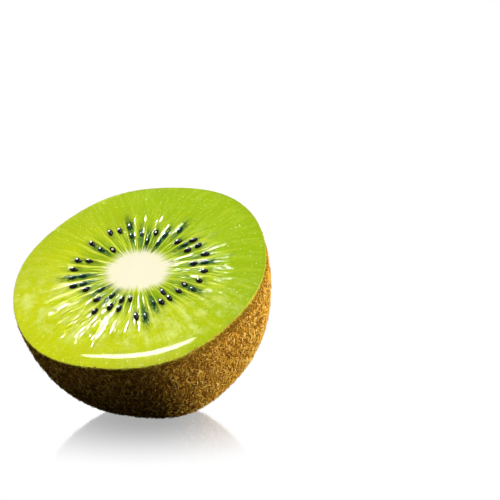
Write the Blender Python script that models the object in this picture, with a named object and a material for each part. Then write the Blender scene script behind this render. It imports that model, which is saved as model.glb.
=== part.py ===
"""Half of a kiwi fruit, cut across its middle and lying tilted on its rounded skin side.

The fruit frame has the cut across z = 0, the open face towards +Z and the end of the fruit towards -Z.
An empty tilts that frame and sets the half down, so that it rests on a small flat spot at world z = 0.
"""

import math
import random

import bmesh
import bpy
from mathutils import Matrix, Vector

# The fruit's driving sizes, in metres
RIM_RADIUS = 0.0251  # mean radius of the oval cut
HALF_DEPTH = 0.0351  # from the rim of the cut to the end of the fruit
SKIN_BLUNTNESS = 2.2  # 2 makes the end an ellipse, more makes it blunter
SKIN_EDGE = 0.0002  # the skin's colour begins this far below the rim
CROWN = 0.0010  # the wet flesh stands this far above the skin's edge
CROWN_START = 0.72  # share of the rim radius where the crown starts to fall away
CROWN_FALL = 2.2  # more keeps the crown flat for longer

# Waves in the cut's outline: waves per turn, share of the radius, direction of the first crest in degrees
RIM_WAVES = ((2, 0.0445, 29.0), (3, 0.006, -58.0), (4, 0.0075, 38.0), (6, 0.008, -3.0))
# Shallow lumps down the skin, in the same form
SKIN_LUMPS = ((3, 0.006, 80.0), (5, 0.005, 10.0))

# The pale core, a long oval spindle in a pocket of the flesh
CORE_LENGTH = 0.0128
CORE_WIDTH = 0.0098
CORE_TURN = math.radians(4.0)  # its longer axis against the fruit's X
CORE_DEPTH = 0.0275
CORE_FULLNESS = 0.8  # under 1 keeps the spindle's sides full
CORE_TIP = 1.2  # more than 1 makes its lower end longer
CORE_DOME = 0.00012  # the middle of its top stands this far above its edge
CORE_DOME_SHARE = 0.5  # share of the radius that the raised middle takes
CORE_GAP = 0.0003  # clearance between the core and its pocket
POCKET_TOP = 0.003  # the form that hollows the pocket stands this far above the cut

# The seed chambers round the core and the ribs of flesh between them
CHAMBERS = 36
FIRST_CHAMBER = math.radians(2.5)
RIB_HEIGHT = 0.00022
RIB_NARROWNESS = 3.0
RIB_START = 0.26  # this and the next three are shares of the rim radius
RIB_FULL = 0.34
RIB_FADE = 0.56
RIB_END = 0.80

# The seeds. Each chamber shows seeds of the inner, the middle or the outer row, or none
SEED_LENGTH = 0.0019
SEED_WIDTH = 0.0013
SEED_THICKNESS = 0.0010
SEED_TAPER = 0.5  # share of the width lost at the end that points to the core
SEED_LIFT = 0.00010  # the seed's middle above the flesh
SEED_JITTER = 0.0003
SEED_TURN = math.radians(14.0)
SEED_ROWS = {"i": 0.0028, "m": 0.0050, "o": 0.0074}  # distances from the core's edge
SEED_PATTERN = "o mo o mo mo m o im m i m mo o o i mo - mo o mo mo m i m io m im i o o m m im m mo o".split()
SEED_RANDOM = 11

# The scar where the flower was, at the end of the fruit
DIMPLE_RADIUS = 0.0062
DIMPLE_DEPTH = 0.0007
SCAR_RADIUS = 0.0026
SCAR_HEIGHT = 0.0008
SCAR_FLAT = 0.6  # share of the scar's radius that is flat

# How the half lies
TILT = math.radians(39.3)  # the cut against the horizontal
FLAT_SPOT_CUT = 0.0008  # what the flat spot takes off the round skin

# How finely the solids are faceted. A fall runs down the skin, from 0 at the rim to 1 at the end of the fruit
FACE_STEPS = 144
FACE_SHARES = (0.0, 0.14, 0.28, 0.34, 0.42, 0.50, 0.58, 0.66, 0.74, 0.81, 0.87, 0.92, 0.96, 0.985, 1.0)
SKIN_STEPS = 72
SKIN_RINGS = 13
RIM_FALL = 0.03
SCAR_FALLS = (0.955, 0.975, 0.988, 1.0)
CORE_STEPS = 48
CORE_RINGS = 9
SEED_SEGMENTS = 7
SEED_STACKS = 5
SMALLEST_EDGE = 1e-5
SMOOTH_BELOW = math.radians(40.0)

# Colour and roughness of each material
FLESH_LOOK = ((0.52, 0.64, 0.02), 0.25)
CORE_LOOK = ((0.96, 0.93, 0.68), 0.40)
SEED_LOOK = ((0.012, 0.010, 0.008), 0.20)
SKIN_LOOK = ((0.30, 0.17, 0.04), 0.85)


def waves(angle, table):
    """The sum of a table's waves in one direction."""
    return sum(size * math.cos(count * (angle - math.radians(crest))) for count, size, crest in table)


def rim_radius(angle):
    """Radius of the cut's outline in one direction."""
    return RIM_RADIUS * (1.0 + waves(angle, RIM_WAVES))


def core_radius(angle):
    """Radius of the oval core in one direction."""
    across = math.cos(angle - CORE_TURN) * 2.0 / CORE_LENGTH
    along = math.sin(angle - CORE_TURN) * 2.0 / CORE_WIDTH
    return 1.0 / math.hypot(across, along)


def smooth_step(low, high, value):
    share = min(1.0, max(0.0, (value - low) / (high - low)))
    return share * share * (3.0 - 2.0 * share)


def disc_place(vert):
    """(angle, share of the radius) of a vertex on a flat disc of radius 1."""
    return math.atan2(vert.co.y, vert.co.x), min(1.0, math.hypot(vert.co.x, vert.co.y))


def face_height(share, angle):
    """Height of the cut face above the rim: the flat crown, its fall towards the skin, and the ribs."""
    fall = max(0.0, share - CROWN_START) / (1.0 - CROWN_START)
    height = CROWN * (1.0 - fall**CROWN_FALL)
    wave = 0.5 - 0.5 * math.cos(CHAMBERS * (angle - FIRST_CHAMBER))
    window = smooth_step(RIB_START, RIB_FULL, share) * (1.0 - smooth_step(RIB_FADE, RIB_END, share))
    return height + RIB_HEIGHT * window * wave**RIB_NARROWNESS


def skin_point(angle, fall):
    """A point of the skin, by its direction and its fall."""
    depth = math.sin(0.5 * math.pi * fall)
    spread = math.sqrt(max(0.0, 1.0 - depth**SKIN_BLUNTNESS))
    lumps = 1.0 + waves(angle, SKIN_LUMPS) * math.sin(math.pi * fall)
    radius = rim_radius(angle) * spread * lumps
    z = -HALF_DEPTH * depth
    if radius < DIMPLE_RADIUS:
        z += DIMPLE_DEPTH * (1.0 - (radius / DIMPLE_RADIUS) ** 2) ** 2
        z -= SCAR_HEIGHT * (1.0 - smooth_step(SCAR_FLAT * SCAR_RADIUS, SCAR_RADIUS, radius))
    return Vector((radius * math.cos(angle), radius * math.sin(angle), z))


def clear_scene():
    for obj in list(bpy.data.objects):
        bpy.data.objects.remove(obj)


def make_material(name, color, roughness):
    material = bpy.data.materials.new(name)
    material.use_nodes = True
    shader = material.node_tree.nodes["Principled BSDF"]
    shader.inputs["Base Color"].default_value = (*color, 1.0)
    shader.inputs["Roughness"].default_value = roughness
    shader.inputs["Metallic"].default_value = 0.0
    return material


def make_object(name, bm, material=None):
    mesh = bpy.data.meshes.new(name)
    bm.to_mesh(mesh)
    bm.free()
    if material:
        mesh.materials.append(material)
    mesh.shade_smooth()
    mesh.set_sharp_from_angle(angle=SMOOTH_BELOW)
    obj = bpy.data.objects.new(name, mesh)
    bpy.context.scene.collection.objects.link(obj)
    return obj


def turn_disc(bm, shares, steps):
    """Spins a row of points into a flat disc of radius 1, or a ring, and returns its vertices."""
    before = set(bm.verts)
    verts = [bm.verts.new((share, 0.0, 0.0)) for share in shares]
    edges = [bm.edges.new(pair) for pair in zip(verts, verts[1:])]
    bmesh.ops.spin(
        bm,
        geom=verts + edges,
        cent=(0.0, 0.0, 0.0),
        axis=(0.0, 0.0, 1.0),
        angle=2.0 * math.pi,
        steps=steps,
        use_merge=True,
    )
    made = [vert for vert in bm.verts if vert not in before]
    bmesh.ops.remove_doubles(bm, verts=made, dist=SMALLEST_EDGE)
    return [vert for vert in bm.verts if vert not in before]


def open_edges(verts):
    """The boundary edges of a sheet, found through its vertices."""
    return list({edge for vert in verts for edge in vert.link_edges if edge.is_boundary})


def close_up(bm):
    """Splits every face into triangles and turns them all outwards."""
    bmesh.ops.triangulate(bm, faces=list(bm.faces))
    bmesh.ops.recalc_face_normals(bm, faces=list(bm.faces))
    return bm


def build_body():
    """The whole half with its ribbed face and its skin, before the pocket and the seeds."""
    bm = bmesh.new()
    face = turn_disc(bm, FACE_SHARES, FACE_STEPS)
    for vert in face:
        angle, share = disc_place(vert)
        radius = share * rim_radius(angle)
        vert.co = (radius * math.cos(angle), radius * math.sin(angle), face_height(share, angle))

    # The skin is turned as a flat disc too, on which each ring's distance from the edge is its fall
    falls = [RIM_FALL] + [ring / SKIN_RINGS for ring in range(1, SKIN_RINGS)] + list(SCAR_FALLS)
    skin = turn_disc(bm, [1.0 - fall for fall in falls], SKIN_STEPS)
    for vert in skin:
        angle, share = disc_place(vert)
        vert.co = skin_point(angle, 1.0 - share)
    bmesh.ops.bridge_loops(bm, edges=open_edges(face) + open_edges(skin))
    return close_up(bm)


def build_core(grown=0.0, top=0.0):
    """The core. For its pocket, grown widens it all round and top lifts its upper end."""
    bm = bmesh.new()
    sides = turn_disc(bm, [1.0 - ring / CORE_RINGS for ring in range(CORE_RINGS + 1)], CORE_STEPS)
    for vert in sides:
        angle, share = disc_place(vert)
        fall = 0.5 * math.pi * (1.0 - share)
        radius = (core_radius(angle) + grown) * max(0.0, math.cos(fall)) ** CORE_FULLNESS
        z = CROWN + top - (CORE_DEPTH + grown + top) * math.sin(fall) ** CORE_TIP
        vert.co = (radius * math.cos(angle), radius * math.sin(angle), z)
    lid = bmesh.ops.extrude_edge_only(bm, edges=open_edges(sides))
    raised = [item for item in lid["geom"] if isinstance(item, bmesh.types.BMVert)]
    for vert in raised:
        vert.co = (vert.co.x * CORE_DOME_SHARE, vert.co.y * CORE_DOME_SHARE, vert.co.z + CORE_DOME)
    bmesh.ops.contextual_create(bm, geom=open_edges(raised))
    return close_up(bm)


def seed_places():
    """(angle, distance from the centre, turn) of every seed, by the rows that each chamber shows."""
    dice = random.Random(SEED_RANDOM)
    places = []
    for chamber, rows in enumerate(SEED_PATTERN):
        for row in rows.replace("-", ""):
            angle = FIRST_CHAMBER + chamber * 2.0 * math.pi / CHAMBERS
            distance = core_radius(angle) + SEED_ROWS[row] + dice.uniform(-SEED_JITTER, SEED_JITTER)
            angle += dice.uniform(-SEED_JITTER, SEED_JITTER) / distance
            places.append((angle, distance, dice.uniform(-SEED_TURN, SEED_TURN)))
    return places


def build_seed(angle, distance, turn):
    """A flattened drop with its narrow end towards the core, half sunk in the flesh."""
    bm = bmesh.new()
    bmesh.ops.create_uvsphere(bm, u_segments=SEED_SEGMENTS, v_segments=SEED_STACKS, radius=0.5)
    bmesh.ops.rotate(bm, verts=bm.verts, matrix=Matrix.Rotation(math.radians(90.0), 3, "Y"))
    for vert in bm.verts:
        narrow = 1.0 - SEED_TAPER * max(0.0, -2.0 * vert.co.x)
        x, y, z = vert.co
        vert.co = (x * SEED_LENGTH, y * SEED_WIDTH * narrow, z * SEED_THICKNESS * narrow)
    place = Vector((distance * math.cos(angle), distance * math.sin(angle), CROWN + SEED_LIFT))
    matrix = Matrix.Translation(place) @ Matrix.Rotation(angle + turn, 4, "Z")
    bmesh.ops.transform(bm, matrix=matrix, verts=bm.verts)
    return bm


def apply_boolean(obj, boolean):
    """Makes the Boolean's result the object's own mesh."""
    graph = bpy.context.evaluated_depsgraph_get()
    result = bpy.data.meshes.new_from_object(obj.evaluated_get(graph))
    obj.modifiers.remove(boolean)
    obj.data = result


def hollow_pocket(flesh):
    """Takes the core's place out of the flesh."""
    pocket = make_object("pocket", build_core(grown=CORE_GAP, top=POCKET_TOP))
    boolean = flesh.modifiers.new("Pocket", "BOOLEAN")
    boolean.operation = "DIFFERENCE"
    boolean.solver = "EXACT"
    boolean.object = pocket
    apply_boolean(flesh, boolean)
    bpy.data.objects.remove(pocket)


def add_seeds(flesh, material):
    """Fuses every seed to the flesh."""
    collection = bpy.data.collections.new("seeds")
    bpy.context.scene.collection.children.link(collection)
    for place in seed_places():
        seed = make_object("seed", build_seed(*place), material)
        bpy.context.scene.collection.objects.unlink(seed)
        collection.objects.link(seed)
    boolean = flesh.modifiers.new("Seeds", "BOOLEAN")
    boolean.operation = "UNION"
    boolean.solver = "EXACT"
    boolean.operand_type = "COLLECTION"
    boolean.collection = collection
    apply_boolean(flesh, boolean)
    for seed in list(collection.objects):
        bpy.data.objects.remove(seed)
    bpy.data.collections.remove(collection)


def cut_flat_spot(obj):
    """Cuts the spot that the half rests on, and returns its height along the tilted vertical."""
    up = Vector((0.0, math.sin(TILT), math.cos(TILT)))
    height = min(vert.co.dot(up) for vert in obj.data.vertices) + FLAT_SPOT_CUT
    bm = bmesh.new()
    bm.from_mesh(obj.data)
    cut = bmesh.ops.bisect_plane(
        bm,
        geom=list(bm.verts) + list(bm.edges) + list(bm.faces),
        dist=1e-6,
        plane_co=up * height,
        plane_no=-up,
        clear_outer=True,
    )
    edges = [item for item in cut["geom_cut"] if isinstance(item, bmesh.types.BMEdge)]
    bmesh.ops.contextual_create(bm, geom=edges)
    bmesh.ops.recalc_face_normals(bm, faces=list(bm.faces))
    bm.to_mesh(obj.data)
    bm.free()
    return height


def set_down(flesh, core, height):
    """Parents both pieces to a tilted empty that stands the flat spot on the floor, centred on the origin."""
    fruit = bpy.data.objects.new("fruit", None)
    bpy.context.scene.collection.objects.link(fruit)
    fruit.rotation_euler = (TILT, 0.0, 0.0)
    turn = Matrix.Rotation(TILT, 3, "X")
    points = [turn @ vert.co for vert in flesh.data.vertices]
    middle = [0.5 * (min(p[axis] for p in points) + max(p[axis] for p in points)) for axis in (0, 1)]
    fruit.location = (-middle[0], -middle[1], -height)
    for piece in (flesh, core):
        piece.parent = fruit


def main():
    clear_scene()
    flesh_green = make_material("kiwi_flesh", *FLESH_LOOK)
    core_cream = make_material("kiwi_core", *CORE_LOOK)
    seed_black = make_material("kiwi_seed", *SEED_LOOK)
    skin_brown = make_material("kiwi_skin", *SKIN_LOOK)

    flesh = make_object("flesh", build_body(), flesh_green)
    flesh.data.materials.append(skin_brown)
    for polygon in flesh.data.polygons:
        polygon.material_index = 1 if polygon.center.z < -SKIN_EDGE else 0
    hollow_pocket(flesh)
    add_seeds(flesh, seed_black)
    height = cut_flat_spot(flesh)
    core = make_object("core", build_core(), core_cream)
    set_down(flesh, core, height)


main()
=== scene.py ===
# %% [markdown]
# # Half a kiwi fruit, cut across its middle
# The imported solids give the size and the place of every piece. This notebook dresses them: the wet
# cut face, the pale core, the seeds, the thin brown skin and its fuzz. Each step says what the real
# thing is, how it could be made, and why it is made this way here.

import math
import random

import bpy
import numpy as np
from mathutils import Matrix, Vector, noise


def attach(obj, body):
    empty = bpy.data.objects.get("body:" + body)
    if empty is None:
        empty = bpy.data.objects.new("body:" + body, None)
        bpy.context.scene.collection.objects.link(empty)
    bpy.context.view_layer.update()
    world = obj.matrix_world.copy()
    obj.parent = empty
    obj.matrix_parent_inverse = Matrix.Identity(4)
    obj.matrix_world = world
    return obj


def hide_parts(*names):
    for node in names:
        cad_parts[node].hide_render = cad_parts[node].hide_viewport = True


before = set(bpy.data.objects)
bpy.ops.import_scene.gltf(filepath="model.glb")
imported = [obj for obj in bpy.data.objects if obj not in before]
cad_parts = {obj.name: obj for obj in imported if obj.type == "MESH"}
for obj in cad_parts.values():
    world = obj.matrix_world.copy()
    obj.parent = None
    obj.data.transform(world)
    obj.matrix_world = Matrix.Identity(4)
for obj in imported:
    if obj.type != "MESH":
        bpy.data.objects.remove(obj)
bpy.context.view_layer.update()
print("solids:", ", ".join(sorted(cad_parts)))

# %% [markdown]
# ## The fruit's own frame
# A kiwi is easiest to describe lying flat: the cut across z = 0 and the end of the fruit below it.
# The half then leans by one angle. The solids are already leaning, so that frame is found again from
# the core, whose top is centred on the fruit's axis.

# %% Find the fruit's frame
TILT = math.radians(39.3)  # the cut against the horizontal
CROWN = 0.0010  # the wet flesh stands this far above the skin's edge
CORE_DOME = 0.00012  # the middle of the core's top stands this far above its edge

lean = Matrix.Rotation(TILT, 3, "X")
core_points = [lean.inverted() @ vert.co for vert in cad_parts["core"].data.vertices]
core_middle = [0.5 * (min(p[i] for p in core_points) + max(p[i] for p in core_points)) for i in (0, 1)]
core_top = max(point.z for point in core_points)
FRUIT_PLACE = lean @ Vector((*core_middle, core_top - CROWN - CORE_DOME))
TO_WORLD = Matrix.Translation(FRUIT_PLACE) @ lean.to_4x4()
print("the middle of the cut stands at", [round(1000 * value, 2) for value in FRUIT_PLACE], "mm")

# %% [markdown]
# ## The outlines
# The cut isn't a true oval: it is a circle with a few slow waves in its radius. The skin below it is a
# blunt ellipsoid with shallow lumps and, at its end, the dimple and the dry scar of the flower. One
# function for each outline serves every piece, so the pieces fit each other.

# %% Outlines as functions
RIM_RADIUS = 0.0251
HALF_DEPTH = 0.0351
SKIN_BLUNTNESS = 2.2
RIM_WAVES = ((2, 0.0445, 29.0), (3, 0.006, -58.0), (4, 0.0075, 38.0), (6, 0.008, -3.0))
SKIN_LUMPS = ((3, 0.006, 80.0), (5, 0.005, 10.0))
DIMPLE_RADIUS = 0.0062
DIMPLE_DEPTH = 0.0007
SCAR_RADIUS = 0.0026
SCAR_HEIGHT = 0.0008
SCAR_FLAT = 0.6
CORE_LENGTH = 0.0128
CORE_WIDTH = 0.0098
CORE_TURN = math.radians(4.0)
CORE_DEPTH = 0.0275


def waves(angle, table):
    return sum(size * np.cos(count * (angle - math.radians(crest))) for count, size, crest in table)


def smooth_step(low, high, value):
    share = np.clip((value - low) / (high - low), 0.0, 1.0)
    return share * share * (3.0 - 2.0 * share)


def rim_radius(angle):
    return RIM_RADIUS * (1.0 + waves(angle, RIM_WAVES))


def core_radius(angle):
    across = np.cos(angle - CORE_TURN) * 2.0 / CORE_LENGTH
    along = np.sin(angle - CORE_TURN) * 2.0 / CORE_WIDTH
    return 1.0 / np.hypot(across, along)


def skin_shape(angle, fall):
    """Radius and height of the skin, by direction and by fall: 0 at the rim, 1 at the fruit's end."""
    depth = np.sin(0.5 * math.pi * fall)
    spread = np.sqrt(np.maximum(0.0, 1.0 - depth**SKIN_BLUNTNESS))
    radius = rim_radius(angle) * spread * (1.0 + waves(angle, SKIN_LUMPS) * np.sin(math.pi * fall))
    dimple = np.maximum(0.0, 1.0 - (radius / DIMPLE_RADIUS) ** 2) ** 2
    scar = 1.0 - smooth_step(SCAR_FLAT * SCAR_RADIUS, SCAR_RADIUS, radius)
    return radius, -HALF_DEPTH * depth + DIMPLE_DEPTH * dimple - SCAR_HEIGHT * scar


print("rim from", round(2000 * rim_radius(np.linspace(0, 7, 200)).min(), 1), "to",
      round(2000 * rim_radius(np.linspace(0, 7, 200)).max(), 1), "mm across")

# %% [markdown]
# ## Small helpers
# All but the hairs start as a primitive, which is then shaped in edit mode or by rule. An operator acts
# on all that is selected, so each step first selects its one object. A piece is modelled in the fruit's
# frame and then leant over inside its mesh, so its object stays at the origin.

# %% Helpers for modelling
def activate(*objects):
    bpy.ops.object.select_all(action="DESELECT")
    for obj in objects:
        obj.select_set(True)
    bpy.context.view_layer.objects.active = objects[0]
    return objects[0]


def start(name, primitive, **settings):
    """Adds a primitive and names it."""
    bpy.ops.object.select_all(action="DESELECT")
    primitive(**settings)
    made = bpy.context.object
    made.name = made.data.name = name
    return made


def points_of(obj):
    points = np.empty(len(obj.data.vertices) * 3, np.float32)
    obj.data.vertices.foreach_get("co", points)
    return points.reshape(-1, 3).astype(float)


def place_points(obj, points):
    obj.data.vertices.foreach_set("co", np.asarray(points, np.float32).ravel())
    obj.data.update()


def polar(points):
    """Direction and distance from the fruit's axis."""
    return np.arctan2(points[:, 1], points[:, 0]), np.hypot(points[:, 0], points[:, 1])


def from_polar(angle, radius, z):
    return np.stack([radius * np.cos(angle), radius * np.sin(angle), z], axis=1)


def press(obj, lowest):
    """Flattens all that would lie below a height."""
    points = points_of(obj)
    points[:, 2] = np.maximum(points[:, 2], lowest)
    place_points(obj, points)


def close_seams(obj, distance=2e-6):
    """Merges what meets, and turns all faces outwards."""
    activate(obj)
    bpy.ops.object.mode_set(mode="EDIT")
    bpy.ops.mesh.select_all(action="SELECT")
    bpy.ops.mesh.remove_doubles(threshold=distance)
    bpy.ops.mesh.normals_make_consistent(inside=False)
    bpy.ops.object.mode_set(mode="OBJECT")


def give_attribute(obj, name, values):
    attribute = obj.data.attributes.new(name, "FLOAT", "POINT")
    attribute.data.foreach_set("value", np.asarray(values, np.float32))


def tell(obj):
    print(obj.name, len(obj.data.vertices), "vertices,", len(obj.data.polygons), "faces")


def dress(obj, material):
    """Gives a finished piece its material and its place on the fruit's one body."""
    obj.data.materials.clear()
    obj.data.materials.append(material)
    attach(obj, "root")
    print(obj.name, "wears", material.name)


# %% [markdown]
# ## Where the seeds lie
# The flesh round the core is divided into 36 narrow chambers. A cut meets the seeds of each chamber at
# one, two or no places, and never quite in line. So the pattern is written down chamber by chamber, with
# a letter for the inner, middle or outer row. A capital is a seed that lies just under the gel and looks
# green. A little seeded chance moves each one off its row, in the same order as in the solids.

# %% Seed pattern
CHAMBERS = 36
FIRST_CHAMBER = math.radians(2.5)
SEED_JITTER = 0.0003
SEED_TURN = math.radians(14.0)
SEED_ROWS = {"i": 0.0028, "m": 0.0050, "o": 0.0074}  # distances from the core's edge
SEED_PATTERN = (
    "o mO o mo Mo m O IM m I M MO o o i Mo - mo "
    "o MO Mo m I m Io m im i o O M m im m mO o"
).split()
CUT_SEEDS = {(8, "m"), (14, "i"), (34, "m")}  # the knife went through these
SEED_RANDOM = 11


def seed_places():
    dice = random.Random(SEED_RANDOM)
    places = []
    for chamber, rows in enumerate(SEED_PATTERN):
        for row in rows.replace("-", ""):
            angle = FIRST_CHAMBER + chamber * 2.0 * math.pi / CHAMBERS
            distance = core_radius(angle) + SEED_ROWS[row.lower()]
            distance += dice.uniform(-SEED_JITTER, SEED_JITTER)
            angle += dice.uniform(-SEED_JITTER, SEED_JITTER) / distance
            turn = dice.uniform(-SEED_TURN, SEED_TURN)
            places.append({"angle": angle, "distance": distance, "turn": turn,
                           "sunk": row.isupper(), "cut": (chamber, row.lower()) in CUT_SEEDS})
    return places


def heading_of(seed):
    """The direction from the fruit's middle to a seed."""
    return math.cos(seed["angle"]), math.sin(seed["angle"])


SEEDS = seed_places()
print(len(SEEDS), "seeds,", sum(seed["sunk"] for seed in SEEDS), "of them under the gel")

# %% [markdown]
# ## The flesh
# The cut flesh is nearly flat and falls off a little towards the skin, with low ribs between the chambers
# and fine fibres that all run outwards. In some sectors it is wetter: there the ribs and fibres stand up
# more and reach further out, and their flanks catch the light as white streaks. Sculpting would give all
# this, but not the same twice. Here a flat grid is wrapped round the axis like a sleeve: one way of the
# grid is the direction, the other runs from the bottom of the core's pocket, over the face and down
# inside the skin. Every vertex is then placed by rule.

# %% Relief of the cut face
SKIN_THICKNESS = 0.00012
CROWN_START = 0.72
CROWN_FALL = 2.2
RIB_STEEPNESS = 0.0105  # height of a rib as a share of its distance from the middle
WET_STEEPNESS = 0.0045  # added in the wet sectors
RIB_NARROWNESS = 3.0
RIB_START, RIB_FULL, RIB_FADE, RIB_END = 0.26, 0.34, 0.56, 0.80  # shares of the way to the rim
RIB_WANDER = 0.022  # how far a rib strays sideways, in radians
RIB_UNEVENNESS = 0.5
FIBRE_HEIGHT = 0.00006
FIBRE_COUNT = 26.0  # more makes finer fibres
FIBRE_START, FIBRE_FULL = 0.24, 0.32
# A wet sector's middle and width in degrees, and its strength
WET_SECTORS = ((244.0, 36.0, 1.0), (4.0, 28.0, 0.95), (95.0, 14.0, 0.4))
WET_REACH = 0.09  # ribs end this much further out there
WET_FIBRES = 3.5  # fibres are this much higher there
DENT_DEPTH = 0.00012  # the gel dips round each seed
DENT_RADIUS = 0.0011


def noise_at(points):
    return np.array([noise.noise(Vector(point)) for point in points])


def around(angle, radius, turns, steps_out):
    """Places on a noise whose features are long outwards and narrow sideways."""
    return from_polar(angle, turns, radius * steps_out)


def rib_wave(angle, radius):
    """1 on the crest of a rib and 0 in the middle of a chamber."""
    strayed = angle + RIB_WANDER * noise_at(around(angle, radius, 5.0, 260.0))
    return (0.5 - 0.5 * np.cos(CHAMBERS * (strayed - FIRST_CHAMBER))) ** RIB_NARROWNESS


def dents(angle, radius):
    x, y = radius * np.cos(angle), radius * np.sin(angle)
    deep = np.zeros_like(x)
    for seed in SEEDS:
        out_x, out_y = heading_of(seed)
        apart = np.hypot(x - seed["distance"] * out_x, y - seed["distance"] * out_y)
        deep = np.maximum(deep, np.exp(-((apart / DENT_RADIUS) ** 2)))
    return deep


def in_sector(angle, middle, width, strength):
    apart = np.angle(np.exp(1j * (angle - math.radians(middle))))
    return strength * np.exp(-((apart / math.radians(width)) ** 2))


def wetness(angle):
    """Up to 1 in the sectors where wet ribs and fibres stand up and reach far out, 0 elsewhere."""
    return sum(in_sector(angle, *sector) for sector in WET_SECTORS)


def face_height(angle, radius):
    """Height of the cut face: crown, ribs, fibres and dents."""
    share = radius / (rim_radius(angle) - SKIN_THICKNESS)
    fall = np.maximum(0.0, share - CROWN_START) / (1.0 - CROWN_START)
    crown = CROWN * (1.0 - fall**CROWN_FALL)
    wet = wetness(angle)
    reached = share - WET_REACH * wet
    fading = 1.0 - smooth_step(RIB_FADE, RIB_END, reached)
    ribs = radius * (RIB_STEEPNESS + WET_STEEPNESS * wet)
    ribs *= 1.0 + RIB_UNEVENNESS * noise_at(around(angle, radius, 6.0, 120.0))
    ribs = ribs * (smooth_step(RIB_START, RIB_FULL, share) * fading) * rib_wave(angle, radius)
    fibres = FIBRE_HEIGHT * noise_at(around(angle, radius, FIBRE_COUNT, 420.0)) * (1.0 + WET_FIBRES * wet)
    fibres *= smooth_step(FIBRE_START, FIBRE_FULL, share) * fading
    return crown + ribs + fibres - DENT_DEPTH * dents(angle, radius)


# %% Wrap the grid into the flesh
FLESH_STEPS = 960
FACE_ROWS = 74
SIDE_ROWS = 12
POCKET_ROWS = 8
CORE_FULLNESS = 0.8
CORE_TIP = 1.2


def core_side(angle, fall):
    """Radius and height of the core's side: fall 0 at the cut, 1 at its lower tip."""
    turn = 0.5 * math.pi * fall
    radius = core_radius(angle) * np.maximum(0.0, np.cos(turn)) ** CORE_FULLNESS
    return radius, CROWN - CORE_DEPTH * np.sin(turn) ** CORE_TIP


def flesh_points(angle, row):
    """Where a vertex of the sleeve goes, by its direction and its row along the profile."""
    in_pocket = row < POCKET_ROWS
    on_side = row >= POCKET_ROWS + FACE_ROWS
    radius, z = core_side(angle, np.clip(1.0 - row / POCKET_ROWS, 0.0, 1.0))
    across = np.clip((row - POCKET_ROWS) / FACE_ROWS, 0.0, 1.0)
    inner = core_radius(angle)
    outer = rim_radius(angle) - SKIN_THICKNESS
    face = inner + (outer - inner) * across
    radius = np.where(in_pocket, radius, face)
    z = np.where(in_pocket, z, face_height(angle, radius))
    below = np.clip((row - POCKET_ROWS - FACE_ROWS) / SIDE_ROWS, 0.0, 1.0)
    side_radius, side_z = skin_shape(angle, below)
    shrunk = np.maximum(0.0, side_radius - SKIN_THICKNESS)
    radius = np.where(on_side, shrunk, radius)
    z = np.where(on_side, side_z * (1.0 - SKIN_THICKNESS / HALF_DEPTH), z)
    return from_polar(angle, radius, z)


rows = POCKET_ROWS + FACE_ROWS + SIDE_ROWS
flesh = start("kiwi_flesh", bpy.ops.mesh.primitive_grid_add,
              x_subdivisions=FLESH_STEPS, y_subdivisions=rows, size=2.0)
sheet = points_of(flesh)
sheet_angle = math.pi * (sheet[:, 0] + 1.0)
sheet_row = np.round(0.5 * rows * (sheet[:, 1] + 1.0))
place_points(flesh, flesh_points(sheet_angle, sheet_row))
close_seams(flesh)

# %% [markdown]
# The gel round the seeds is darker than the ribs. How dark depends on how near a seed lies, so it is
# worked out for each vertex and kept as an attribute that the material reads. So are how wet the flesh
# is, and the share of the way from the middle to the rim, because the rim isn't round. At last the flesh
# is pressed flat where the fruit lies, so that it stays above the skin.

# %% Attributes of the flesh
GEL_LENGTH = {True: 0.0026, False: 0.0017}  # for seeds under the gel, and for the others
GEL_STRENGTH = {True: 1.6, False: 0.75}
GEL_WIDTH = 0.0008
WET_START, WET_FULL, WET_FADE, WET_END = 0.28, 0.36, 0.62, 0.82
SMOOTH_UP_TO = math.radians(50.0)


def gel_near_seeds(points):
    gel = np.zeros(len(points))
    for seed in SEEDS:
        out_x, out_y = heading_of(seed)
        along = points[:, 0] * out_x + points[:, 1] * out_y - seed["distance"]
        aside = points[:, 1] * out_x - points[:, 0] * out_y
        near = np.exp(-((along / GEL_LENGTH[seed["sunk"]]) ** 2) - (aside / GEL_WIDTH) ** 2)
        gel = np.maximum(gel, near * GEL_STRENGTH[seed["sunk"]])
    return gel


flat = points_of(flesh)
flat_angle, flat_radius = polar(flat)
flat_share = flat_radius / rim_radius(flat_angle)
reach = smooth_step(WET_START, WET_FULL, flat_share) * (1.0 - smooth_step(WET_FADE, WET_END, flat_share))
give_attribute(flesh, "share", flat_share)
give_attribute(flesh, "gel", gel_near_seeds(flat))
give_attribute(flesh, "wet", wetness(flat_angle) * reach)
flesh.data.transform(TO_WORLD)
press(flesh, 1.1 * SKIN_THICKNESS)
activate(flesh)
bpy.ops.object.shade_smooth_by_angle(angle=SMOOTH_UP_TO)
tell(flesh)

# %% [markdown]
# ## The core
# The white heart of the fruit is a firm spindle that runs down the axis. A filled circle is stretched to
# the core's oval, its top is inset and raised a little, and its rim is extruded down and drawn in ring
# by ring until it closes at the lower tip.

# %% Extrude the core
CORE_STEPS = 96
CORE_RINGS = 14
CORE_TIGHTNESS = 0.00002  # the core reaches this far into the wall of its pocket
TOP_INSETS = 3
TOP_INSET = 0.24  # as a share of the radius

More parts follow.
